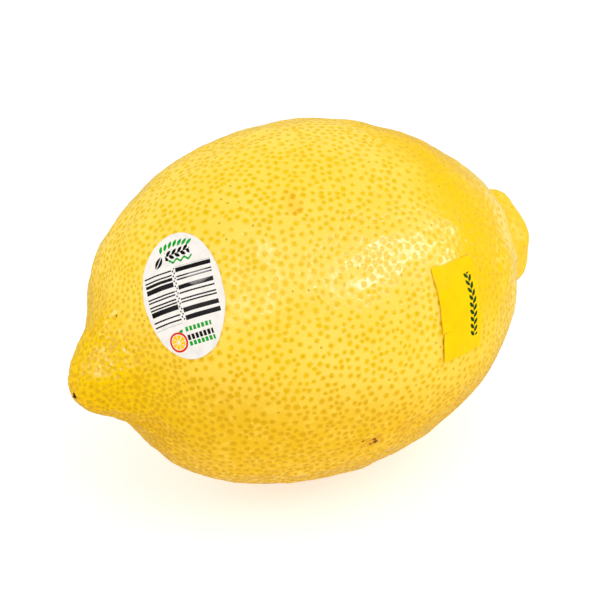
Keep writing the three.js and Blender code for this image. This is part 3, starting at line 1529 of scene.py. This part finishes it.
@dataclass(frozen=True)
class OvalPrint:
    """White film printed with a leaf garland, a twig, plain bars, a citrus wheel and dashes."""

    film: str = "F0EAE2"
    shade: str = "DED9D2"
    ink: str = "0A0705"
    green: str = "10A028"
    # grey of a painted reflection on the black ink
    reflection_grey: str = "8C8886"

    panels: tuple[BarPanel, ...] = (
        BarPanel((-6.5, -0.95), (-4.9, 4.6), 82.5),
        BarPanel((-0.15, 6.2), (-4.6, 4.9), 134.5),
    )
    seam: Wave = Wave(-4.5, 4.8, -0.55, 0.16, 0.12, 7.0)
    seam_pitch: float = 0.45
    seam_half_dash: float = 0.15
    twig: Sprig = Sprig(1.10, 0.46, Leaf(1.30, 0.62, 42.0))
    twig_middle: Pair = (0.5, 7.45)
    twig_lean: float = 4.0
    twig_reach: float = 2.35
    lone_leaf: Leaf = Leaf(2.5, 1.3, 58.0)
    lone_leaf_middle: Pair = (-3.15, 6.55)
    half_vein: float = 0.08
    black_dashes: DashRow = DashRow(-7.5, 0.46)
    green_dashes: tuple[DashRow, ...] = (DashRow(-6.05, 0.40), DashRow(-8.55, 0.38))
    garland: Garland = Garland((0.2, 2.2), 7.2, 0.92, -3.3, 3.14, Leaf(1.5, 0.62, 62.0))
    flourish: Wave = Wave(-1.2, 3.2, 6.05, 0.26, 0.22, 4.4)
    wheel: CitrusWheel = CitrusWheel()
    wheel_leaf: Leaf = Leaf(1.2, 0.6, 40.0)
    wheel_leaf_middle: Pair = (-1.75, -6.25)

    # place, stretch and ragged edge of the painted reflection over the right bars
    reflection_middle: Pair = (3.7, 2.3)
    reflection_pace: Pair = (0.40, 0.62)
    reflection_rag: float = 1.2
    reflection_rag_size: float = 1.1 * MM
    reflection_edge: Ramp = Ramp(1.6, 1.0, high=0.85)
    scuff_size: float = 1.6 * MM
    scuffed: Ramp = Ramp(0.4, 0.75, high=0.6)
    rough: Ramp = Ramp(0.3, 0.7, 0.36, 0.46)
    gloss: float = 0.06
    relief: Relief = Relief(2.2 * MM, 2.0, 0.06 * MM, 0.35)

    def material(self) -> bpy.types.Material:
        """Returns the printed film's material.

        Returns:
            The finished material.
        """
        sheet = Finish("white_film")
        x, y = sheet.printed()
        scuff = sheet.noise(self.scuff_size, detail=4.0)
        bare = sheet.mix(sheet.span(scuff, self.scuffed), tint(self.film), tint(self.shade))
        # the ink turns grey under a painted reflection
        ink = sheet.mix(self._painted_reflection(sheet, x, y), tint(self.ink), tint(self.reflection_grey))
        colour = sheet.mix(self._black(sheet, x, y), bare, ink)
        colour = sheet.mix(self._green(sheet, x, y), colour, tint(self.green))
        colour = self.wheel.over(sheet, x, y, colour, self.film)
        normal = sheet.relief(self.relief)
        sheet.set(Base_Color=colour, Roughness=sheet.span(scuff, self.rough), Normal=normal)
        sheet.set(Specular_Ior_Level=self.gloss)
        return sheet.material

    def _painted_reflection(self, sheet: Finish, x: Socket, y: Socket) -> Socket:
        """Returns how far the ink is greyed by a painted reflection, a fixed light patch over the right
        bars.

        Args:
            sheet: the material being made.
            x: the place across the film.
            y: the place up it.

        Returns:
            0 where the ink is plain black, up to nearly 1 in the middle of the painted reflection.
        """
        away = sheet.product(sheet.noise(self.reflection_rag_size), self.reflection_rag)
        for place, middle, pace in zip((x, y), self.reflection_middle, self.reflection_pace):
            off = sheet.product(sheet.minus(place, middle), pace)
            away = sheet.total(away, sheet.product(off, off))
        return sheet.span(away, self.reflection_edge)

    def _black(self, sheet: Finish, x: Socket, y: Socket) -> Socket:
        """Returns the black printing: the bars and their seam, the twig, the leaf and some dashes.

        Args:
            sheet: the material being made.
            x: the place across the film.
            y: the place up it.

        Returns:
            1 on it and 0 elsewhere.
        """
        bars = (panel.mask(sheet, x, y) for panel in self.panels)
        seam_dash = sheet.within(sheet.repeat(y, self.seam_pitch), self.seam_half_dash)
        return sheet.union(
            *bars,
            sheet.product(self.seam.mask(sheet, y, x), seam_dash),
            self._twig(sheet, x, y),
            self._lone_leaf(sheet, x, y),
            self.black_dashes.mask(sheet, x, y),
        )

    def _twig(self, sheet: Finish, x: Socket, y: Socket) -> Socket:
        """Returns a lying twig with bold leaves above and below it.

        Args:
            sheet: the material being made.
            x: the place across the film.
            y: the place up it.

        Returns:
            1 on it and 0 elsewhere.
        """
        side, rise, _ = sheet.about(x, y, self.twig_middle)
        along, aside = sheet.turned(side, rise, self.twig_lean)
        return sheet.product(self.twig.mask(sheet, along, aside), sheet.within(along, self.twig_reach))

    def _lone_leaf(self, sheet: Finish, x: Socket, y: Socket) -> Socket:
        """Returns one bold leaf with a bare vein, beside the twig.

        Args:
            sheet: the material being made.
            x: the place across the film.
            y: the place up it.

        Returns:
            1 on it and 0 elsewhere.
        """
        side, rise, _ = sheet.about(x, y, self.lone_leaf_middle)
        _, aside = sheet.turned(side, rise, self.lone_leaf.lean)
        bare = sheet.math("GREATER_THAN", sheet.size_of(aside), self.half_vein)
        return sheet.product(self.lone_leaf.mask(sheet, side, rise), bare)

    def _green(self, sheet: Finish, x: Socket, y: Socket) -> Socket:
        """Returns the green printing: the garland, a flourish, rows of dashes and the wheel's leaf.

        Args:
            sheet: the material being made.
            x: the place across the film.
            y: the place up it.

        Returns:
            1 on it and 0 elsewhere.
        """
        side, rise, _ = sheet.about(x, y, self.wheel_leaf_middle)
        return sheet.union(
            self.garland.mask(sheet, x, y),
            self.flourish.mask(sheet, x, y),
            *(row.mask(sheet, x, y) for row in self.green_dashes),
            self.wheel_leaf.mask(sheet, side, rise),
        )


@dataclass(frozen=True)
class SidePrint:
    """Flat yellow film with a plain dark sprig of leaves down its right side."""

    film: str = "FCCC00"
    film_deep: str = "F9C600"
    green: str = "0A4812"

    sprig: Sprig = Sprig(1.32, 0.52, Leaf(1.45, 0.68, 40.0))
    stem_side: float = 3.05
    stem_ends: Pair = (-5.9, 5.7)
    scuff_size: float = 2.4 * MM
    scuffed: Ramp = Ramp(0.35, 0.7)
    rough: Ramp = Ramp(0.3, 0.7, 0.34, 0.44)
    gloss: float = 0.02
    relief: Relief = Relief(3.0 * MM, 2.0, 0.06 * MM, 0.2)

    def material(self) -> bpy.types.Material:
        """Returns the printed film's material.

        Returns:
            The finished material.
        """
        sheet = Finish("yellow_film")
        x, y = sheet.printed()
        scuff = sheet.noise(self.scuff_size)
        colour = sheet.mix(sheet.span(scuff, self.scuffed), tint(self.film), tint(self.film_deep))
        leaves = self.sprig.mask(sheet, y, sheet.minus(x, self.stem_side))
        leaves = sheet.product(leaves, sheet.inside(y, *self.stem_ends))
        colour = sheet.mix(leaves, colour, tint(self.green))
        normal = sheet.relief(self.relief)
        sheet.set(Base_Color=colour, Roughness=sheet.span(scuff, self.rough), Normal=normal)
        sheet.set(Specular_Ior_Level=self.gloss)
        return sheet.material


# ------------------------------------------------------------------ film labels
@dataclass(frozen=True)
class Spot:
    """Where a label's middle lies: along the fruit in millimetres, round it and its lean in degrees.

    The skin's slope there is taken between points one step to each side, also in millimetres.
    """

    x: float
    turn: float
    lean: float
    step: float = 2.0

    def axes(self, peel: Peel) -> Matrix:
        """Finds the label's own axes: across it, up it and out of the skin.

        Args:
            peel: the finished peel, whose smooth form the label lies on.

        Returns:
            The axes as a matrix placed on the form.
        """
        turn, lean = math.radians(self.turn), math.radians(self.lean)
        out = Vector((0.0, math.cos(turn), math.sin(turn)))
        aside = Vector((0.0, -math.sin(turn), math.cos(turn)))
        behind, middle, before = (
            peel.form.ray_cast(Vector(peel.middle) + Vector(((self.x + step) * MM, 0.0, 0.0)), out)[1]
            for step in (-self.step, 0.0, self.step)
        )
        ahead = (before - behind).normalized()
        across = ahead * math.cos(lean) + aside * math.sin(lean)
        up = ahead * math.sin(lean) - aside * math.cos(lean)
        axes = Matrix((across, up, across.cross(up))).transposed().to_4x4()
        axes.translation = middle
        return axes


@dataclass
class FilmLabel:
    """A thin printed film that lies on the skin; each kind cuts its own outline."""

    gap: float = 0.09 * MM
    thickness: float = 0.06 * MM
    skin_radius: float = 31.9 * MM
    start_height: float = 5 * MM

    def _print_places(self, film: bpy.types.Object) -> None:
        """Records where each point lies on the flat film, then draws it in for the skin's curve.

        Args:
            film: the flat film.
        """
        places = read_places(film.data)
        record(film.data, "print", "POINT", places / MM)
        reach = np.maximum(np.linalg.norm(places, axis=1, keepdims=True) / self.skin_radius, TINY)
        write_places(film.data, places * np.sin(reach) / reach)

    def _lift(self, film: bpy.types.Object) -> None:
        """Raises what has come loose; nothing by default."""

    def _lay(self, film: bpy.types.Object, spot: Spot, peel: Peel) -> None:
        """Lays a flat film on the skin and gives it its thickness.

        Args:
            film: the flat film, about its own origin.
            spot: where it goes.
            peel: what it goes on.
        """
        self._print_places(film)
        film.matrix_world = spot.axes(peel) @ Matrix.Translation((0.0, 0.0, self.start_height))
        apply_modifier(
            film, "SHRINKWRAP", target=peel.form, wrap_method="PROJECT", use_project_z=True,
            use_positive_direction=False, use_negative_direction=True, offset=self.gap,
        )
        self._lift(film)
        make_active(film)
        bpy.ops.object.transform_apply()
        peel.follow_swell(film)
        apply_modifier(film, "SOLIDIFY", thickness=self.thickness, offset=1.0)
        make_active(film)
        bpy.ops.object.shade_smooth_by_angle(angle=CREASE)


@dataclass
class OvalLabel(FilmLabel):
    """The upright white oval near the nipple."""

    width: float = 15.0 * MM
    height: float = 22.6 * MM
    rim_points: int = 96
    rings: int = 12
    spot: Spot = Spot(-30.3, 123.5, 13.8)
    finish: OvalPrint = OvalPrint()

    def build(self, peel: Peel) -> bpy.types.Object:
        """Builds and dresses the label.

        Args:
            peel: what it lies on.

        Returns:
            The finished piece.
        """
        deselect()
        bpy.ops.mesh.primitive_circle_add(vertices=self.rim_points, radius=0.5, fill_type="NGON")
        film = bpy.context.active_object
        film.name = "oval_film"
        edit_all(film)
        bpy.ops.transform.resize(value=(self.width, self.height, 1.0))
        for ring in range(self.rings, 1, -1):
            bpy.ops.mesh.extrude_region()
            inward = (ring - 1) / ring
            bpy.ops.transform.resize(value=(inward, inward, 1.0), center_override=(0.0, 0.0, 0.0))
        bpy.ops.mesh.poke()
        leave_edit()
        self._lay(film, self.spot, peel)
        dress(film, self.finish.material())
        hand_over(film, Slot.WHITE_FILM, "oval_label")
        return film


@dataclass
class SideLabel(FilmLabel):
    """The yellow four-cornered film near the neck, slit at its left edge, which has come loose."""

    width: float = 10.6 * MM
    height: float = 17.2 * MM
    columns: int = 30
    rows: int = 48
    slit_level: float = -3.05 * MM
    slit_end: float = -2.5 * MM
    slit_margin: float = 0.2 * MM
    slit_gape: float = 0.16 * MM
    gape_fall: float = 6.0
    flap_shift: float = 0.40 * MM
    skew: float = 0.3 * MM
    curl: float = 0.26 * MM
    curl_share: Ramp = Ramp(0.55, -0.45, low=0.25)
    spot: Spot = Spot(16.1, 163.1, 2.5)
    finish: SidePrint = SidePrint()

    def build(self, peel: Peel) -> bpy.types.Object:
        """Builds and dresses the label.

        Args:
            peel: what it lies on.

        Returns:
            The finished piece.
        """
        deselect()
        bpy.ops.mesh.primitive_grid_add(x_subdivisions=self.columns, y_subdivisions=self.rows, size=1.0)
        film = bpy.context.active_object
        film.name = "side_film"
        edit_all(film)
        bpy.ops.transform.resize(value=(self.width, self.height, 1.0))
        leave_edit()
        level = self._slit(film)
        self._open_slit(film, level)
        self._skew(film)
        self._lay(film, self.spot, peel)
        dress(film, self.finish.material())
        hand_over(film, Slot.YELLOW_FILM, "side_label")
        return film

    def _loose(self, places: np.ndarray) -> np.ndarray:
        """Returns how near each point is to the loose left edge, from 0 at the slit's end to 1."""
        return Ramp(self.slit_end, -self.width / 2).of(places[:, 0])

    def _slit(self, film: bpy.types.Object) -> float:
        """Cuts the short slit in from the left edge, along the nearest row of edges.

        Args:
            film: the flat film.

        Returns:
            The slit's level.
        """
        mesh = film.data
        places = read_places(mesh)
        level = places[np.argmin(np.abs(places[:, 1] - self.slit_level)), 1]
        for edge in mesh.edges:
            ends = places[list(edge.vertices)]
            edge.select = bool(np.allclose(ends[:, 1], level) and ends[:, 0].max() < self.slit_end)
        for item in (*mesh.vertices, *mesh.polygons):
            item.select = False
        bpy.context.tool_settings.mesh_select_mode = (False, True, False)
        bpy.ops.object.mode_set(mode="EDIT")
        bpy.ops.mesh.edge_split(type="EDGE")
        leave_edit()
        bpy.context.tool_settings.mesh_select_mode = (True, False, False)
        return float(level)

    def _open_slit(self, film: bpy.types.Object, level: float) -> None:
        """Draws the flap under the slit back and down.

        Args:
            film: the flat film, already cut.
            level: the slit's level.
        """
        mesh = film.data
        places = read_places(mesh)
        flap = np.zeros(len(places), dtype=bool)
        for face in mesh.polygons:
            if face.center.y < level:
                flap[list(face.vertices)] = True
        on_slit = np.abs(places[:, 1] - level) < SAME_POINT
        flap &= ~(on_slit & (places[:, 0] > self.slit_end - self.slit_margin))
        loose = self._loose(places) * flap
        below = Ramp(level, -self.height / 2).of(places[:, 1])
        places[:, 0] += self.flap_shift * loose * (1 - below)
        places[:, 1] -= self.slit_gape * loose * np.exp(-self.gape_fall * below)
        write_places(mesh, places)

    def _skew(self, film: bpy.types.Object) -> None:
        """Draws the film's corners a little out of square.

        Args:
            film: the flat film.
        """
        places = read_places(film.data)
        across, up = places[:, 0] / self.width, places[:, 1] / self.height
        places[:, 0] += self.skew * up * across
        places[:, 1] -= self.skew * (2 * up + 1) * across
        write_places(film.data, places)

    def _lift(self, film: bpy.types.Object) -> None:
        """Curls the loose edge up, most at its lower end.

        Args:
            film: the film, laid on the skin but still in its own axes.
        """
        places = read_places(film.data)
        share = self.curl_share.of(places[:, 1] / self.height)
        places[:, 2] += self.curl * self._loose(places) ** 2 * share
        write_places(film.data, places)


# ------------------------------------------------------------------ dry ends
@dataclass(frozen=True)
class DryFinish:
    """Dry plant fibre: streaked, brown and matt."""

    name: str
    light: str
    dark: str
    patch_size: float = 0.8 * MM
    fibre_size: float = 0.25 * MM
    patches: Ramp = Ramp(0.35, 0.65)
    streaks: Ramp = Ramp(0.5, 0.75, high=0.5)
    rough: Ramp = Ramp(0.3, 0.7, 0.7, 0.85)
    gloss: float = 0.04
    fibre_height: float = 0.12 * MM
    fibre_relief: float = 0.8

    def material(self) -> bpy.types.Material:
        """Returns the dry piece's material.

        Returns:
            The finished material.
        """
        sheet = Finish(self.name)
        patch = sheet.noise(self.patch_size, detail=4.0)
        fibre = sheet.noise(self.fibre_size)
        colour = sheet.mix(sheet.span(patch, self.patches), tint(self.light), tint(self.dark))
        colour = sheet.mix(sheet.span(fibre, self.streaks), colour, tint(self.dark))
        normal = sheet.bump(sheet.total(patch, fibre), self.fibre_height, self.fibre_relief, None)
        sheet.set(Base_Color=colour, Roughness=sheet.span(patch, self.rough), Normal=normal)
        sheet.set(Specular_Ior_Level=self.gloss)
        return sheet.material


@dataclass
class TurnedPiece:
    """A small piece turned about its own axis from an outline, then lobed and roughened."""

    sides: int = 40
    lobes: int = 5
    lobe_reach: float = 0.0
    lobe_start: float = 0.45
    lobe_sway: float = 0.6
    lobe_height: float = 0.6 * MM
    rough_size: float = 0.7 * MM
    rough_height: float = 0.12 * MM

    def _turn(self, name: str, outline: tuple[Pair, ...]) -> bpy.types.Object:
        """Turns an outline into a closed piece about the vertical axis.

        Args:
            name: the new object's name.
            outline: radius and height of each ring in millimetres, from the top to the underside.

        Returns:
            The new object.
        """
        deselect()
        radius, height = outline[0]
        bpy.ops.mesh.primitive_circle_add(
            vertices=self.sides, radius=radius * MM, fill_type="NGON", location=(0.0, 0.0, height * MM)
        )
        piece = bpy.context.active_object
        piece.name = name
        bpy.ops.object.transform_apply()
        edit_all(piece)
        for wider, lower in outline[1:]:
            fall = (0.0, 0.0, (lower - height) * MM)
            bpy.ops.mesh.extrude_region_move(TRANSFORM_OT_translate={"value": fall})
            grown = wider / radius
            bpy.ops.transform.resize(value=(grown, grown, 1.0), center_override=(0.0, 0.0, 0.0))
            radius, height = wider, lower
        bpy.ops.mesh.poke()
        bpy.ops.mesh.select_all(action="SELECT")
        bpy.ops.mesh.normals_make_consistent(inside=False)
        leave_edit()
        return piece

    def _roughen(self, piece: bpy.types.Object) -> None:
        """Draws the rim out into uneven lobes, smooths the piece and wrinkles it.

        Args:
            piece: the turned piece.
        """
        places = read_places(piece.data)
        radius = np.hypot(places[:, 0], places[:, 1])
        angle = np.arctan2(places[:, 1], places[:, 0])
        outer = Ramp(self.lobe_start, 1.0).of(radius / radius.max())
        wave = np.cos(self.lobes * angle + self.lobe_sway * np.sin(2 * angle))
        places[:, :2] *= (1 + self.lobe_reach * outer * (wave - 1))[:, None]
        places[:, 2] += self.lobe_reach * self.lobe_height * outer * wave
        write_places(piece.data, places)
        apply_modifier(piece, "SUBSURF", levels=2, render_levels=2)
        wrinkle = bpy.data.textures.new(piece.name, "CLOUDS")
        wrinkle.noise_scale = self.rough_size
        apply_modifier(piece, "DISPLACE", texture=wrinkle, strength=self.rough_height, mid_level=0.5)

    def _seat(self, piece: bpy.types.Object, place: Vector, out: Vector) -> None:
        """Moves a piece to its place with its axis along a direction.

        Args:
            piece: the piece, about its own origin.
            place: where its origin goes.
            out: where its top then faces.
        """
        turn = out.to_track_quat("Z", "Y").to_matrix().to_4x4()
        piece.matrix_world = Matrix.Translation(place) @ turn
        make_active(piece)
        bpy.ops.object.transform_apply()
        bpy.ops.object.shade_smooth()


@dataclass
class StemButton(TurnedPiece):
    """The dry calyx in the neck's hollow, with the woody stalk cut off short."""

    lobe_reach: float = 0.13
    outline: tuple[Pair, ...] = (
        (0.55, 1.34), (0.75, 1.42), (1.12, 1.42), (1.26, 1.30), (1.24, 0.80), (1.40, 0.52),
        (1.90, 0.40), (2.55, 0.42), (3.00, 0.26), (3.04, 0.10), (2.40, 0.02), (1.20, 0.04),
    )
    finish: DryFinish = DryFinish("dried_calyx", "A98A55", "5A3D1E")

    def build(self) -> bpy.types.Object:
        """Builds and dresses the button.

        Returns:
            The finished piece.
        """
        low, high = (Vector(corner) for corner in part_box("stem_button"))
        button = self._turn("calyx_button", self.outline)
        self._roughen(button)
        middle = (low + high) / 2
        self._seat(button, Vector((low.x, middle.y, middle.z)), Vector((1.0, 0.0, 0.0)))
        dress(button, self.finish.material())
        hand_over(button, Slot.CALYX, "stem_button")
        return button


@dataclass
class StyleScar(TurnedPiece):
    """The small dark scar at the nipple's tip, where the flower's style dropped off."""

    sides: int = 24
    lobes: int = 3
    lobe_reach: float = 0.16
    rough_size: float = 0.5 * MM
    rough_height: float = 0.22 * MM
    outline: tuple[Pair, ...] = (
        (0.10, 0.00), (0.22, 0.02), (0.32, 0.12), (0.46, 0.13), (0.58, 0.02), (0.60, -0.30),
        (0.30, -0.34),
    )
    toward: Triple = (-1.0, -0.06, -0.03)
    finish: DryFinish = DryFinish("style_scar", "40200A", "120602")

    def build(self, peel: Peel) -> bpy.types.Object:
        """Builds and dresses the scar.

        Args:
            peel: what it sits on.

        Returns:
            The finished piece.
        """
        tip = max(peel.form.data.vertices, key=lambda vertex: vertex.co.dot(Vector(self.toward)))
        scar = self._turn("style_scar", self.outline)
        self._roughen(scar)
        self._seat(scar, tip.co, tip.normal)
        dress(scar, self.finish.material())
        hand_over(scar, Slot.CALYX)
        return scar


# ------------------------------------------------------------------ studio
@dataclass(frozen=True)
class Softbox:
    """A soft rectangular light: its azimuth and elevation, width and height in metres, and watts."""

    name: str
    bearing: Pair
    size: Pair
    power: float
    shows: Shows = Shows.LIGHT


@dataclass(frozen=True)
class Strip:
    """A long thin light for highlights: the bearings of its ends, its thickness in metres and watts."""

    name: str
    start: Pair
    end: Pair
    thickness: float
    power: float


@dataclass
class Studio:
    """The plain pale floor, the soft lights and the camera."""

    azimuth: float = -30.4
    elevation: float = 33.2
    distance: float = 600 * MM
    frame_width: float = 107.3 * MM
    sensor_width: float = 36.0
    clip_start: float = 0.01
    target: Triple = (0.0, 0.0, 31.2 * MM)
    reach: float = 0.75
    room_light: float = 0.66
    room_gloss: float = 0.32
    gloss_tint: str = "FFF8FF"
    floor_width: float = 6.0
    floor_patch: float = 0.4
    floor_shade: Ramp = Ramp(0.3, 0.7)
    floor_dark: str = "BEBEBD"
    floor_light: str = "C2C2C1"
    floor_rough: float = 0.7
    floor_glow: float = 0.58
    softboxes: tuple[Softbox, ...] = (
        Softbox("front_fill", (20, 48), (0.5, 0.5), 1.36),
        Softbox("right_fill", (95, 30), (0.5, 0.5), 1.0),
        Softbox("left_fill", (-110, 30), (0.5, 0.5), 1.15),
        Softbox("back_fill", (-150, 14), (0.5, 0.4), 0.7),
        Softbox("neck_fill", (140, 24), (0.4, 0.4), 0.7),
        Softbox("top_fill", (0, 82), (0.6, 0.6), 0.91),
        Softbox("haze", (-24, 46), (0.44, 0.42), 2.4, Shows.GLOSS),
        Softbox("tip_gloss", (-114, 22), (0.04, 0.04), 1.3, Shows.GLOSS),
    )
    strips: tuple[Strip, ...] = (
        Strip("key_gloss", (13, 36), (44, 38), 0.03, 9.0),
        Strip("side_gloss", (44, 38), (72, 18), 0.03, 6.6),
        Strip("label_gloss", (-62, 66), (-40, 33), 0.02, 5.2),
        Strip("nipple_gloss", (-86, 22), (-76, 38), 0.025, 3.8),
    )

    def build(self) -> None:
        """Builds the whole studio."""
        self._camera()
        self._floor()
        self._world()
        for softbox in self.softboxes:
            self._hang_softbox(softbox)
        for strip in self.strips:
            self._hang_strip(strip)
        bpy.context.scene.view_settings.view_transform = "Standard"

    def _direction(self, azimuth: float, elevation: float) -> Vector:
        """Returns the unit vector from the fruit towards a bearing; azimuth 0 is towards -Y.

        Args:
            azimuth: in degrees to the right.
            elevation: in degrees upwards.

        Returns:
            The unit vector.
        """
        turn, rise = math.radians(azimuth), math.radians(elevation)
        level = math.cos(rise)
        return Vector((math.sin(turn) * level, -math.cos(turn) * level, math.sin(rise)))

    def _aim(self, item: bpy.types.Object, azimuth: float, elevation: float, distance: float) -> None:
        """Puts an object on a bearing from the target and turns it to face the target.

        Args:
            item: the object.
            azimuth: in degrees to the right.
            elevation: in degrees upwards.
            distance: in metres.
        """
        back = self._direction(azimuth, elevation)
        item.location = Vector(self.target) + back * distance
        item.rotation_euler = back.to_track_quat("Z", "Y").to_euler()

    def _camera(self) -> None:
        """Sets the camera."""
        camera = bpy.data.objects.new("camera", bpy.data.cameras.new("camera"))
        bpy.context.collection.objects.link(camera)
        camera.data.sensor_width = self.sensor_width
        camera.data.lens = self.sensor_width * self.distance / self.frame_width
        camera.data.clip_start = self.clip_start
        self._aim(camera, self.azimuth, self.elevation, self.distance)
        bpy.context.scene.camera = camera

    def _floor(self) -> None:
        """Lays the pale floor."""
        deselect()
        bpy.ops.mesh.primitive_plane_add(size=self.floor_width)
        floor = bpy.context.active_object
        floor.name = "floor"
        sheet = Finish("pale_floor")
        tone = sheet.span(sheet.noise(self.floor_patch, detail=2.0), self.floor_shade)
        colour = sheet.mix(tone, tint(self.floor_dark), tint(self.floor_light))
        sheet.set(Base_Color=colour, Roughness=self.floor_rough)
        sheet.set(Emission_Color=tint("FFFFFF"), Emission_Strength=self.floor_glow)
        dress(floor, sheet.material)
        floor.visible_glossy = False

    def _world(self) -> None:
        """Fills the room with even white light, of which the gloss sees only a part."""
        world = bpy.data.worlds.new("room")
        world.use_nodes = True
        tree = world.node_tree
        ray = tree.nodes.new("ShaderNodeLightPath")
        level = tree.nodes.new("ShaderNodeMapRange")
        level.inputs["To Min"].default_value = self.room_light
        level.inputs["To Max"].default_value = self.room_gloss
        tree.links.new(ray.outputs["Is Glossy Ray"], level.inputs["Value"])
        background = tree.nodes["Background"]
        background.inputs["Color"].default_value = tint("FFFFFF")
        tree.links.new(level.outputs["Result"], background.inputs["Strength"])
        bpy.context.scene.world = world

    def _hang_softbox(self, softbox: Softbox) -> bpy.types.Object:
        """Hangs one soft rectangular light.

        Args:
            softbox: its place, size, power and purpose.

        Returns:
            The light's object.
        """
        light = bpy.data.lights.new(softbox.name, "AREA")
        light.shape = "RECTANGLE"
        light.size, light.size_y = softbox.size
        light.energy = softbox.power
        lamp = bpy.data.objects.new(softbox.name, light)
        lamp.visible_diffuse = softbox.shows is Shows.LIGHT
        lamp.visible_glossy = softbox.shows is Shows.GLOSS
        if softbox.shows is Shows.GLOSS:
            light.color = tint(self.gloss_tint)[:3]
        bpy.context.collection.objects.link(lamp)
        self._aim(lamp, *softbox.bearing, self.reach)
        return lamp

    def _hang_strip(self, strip: Strip) -> None:
        """Hangs a long thin light between two bearings.

        Args:
            strip: its ends, thickness and power.
        """
        first, last = self._direction(*strip.start), self._direction(*strip.end)
        back = (first + last).normalized()
        along = (last - first).normalized()
        length = 2 * self.reach * math.tan(first.angle(last) / 2)
        size = (length, strip.thickness)
        lamp = self._hang_softbox(Softbox(strip.name, strip.start, size, strip.power, Shows.GLOSS))
        lamp.location = Vector(self.target) + back * self.reach
        lamp.rotation_euler = Matrix((along, back.cross(along), back)).transposed().to_euler()


def main() -> None:
    """Builds the lemon and its studio."""
    logging.basicConfig(level=logging.INFO, format="%(name)s: %(message)s")
    Studio().build()
    peel = Peel()
    peel.build()
    OvalLabel().build(peel)
    SideLabel().build(peel)
    StemButton().build()
    StyleScar().build(peel)
    discard(peel.form)


if __name__ == "__main__":
    main()
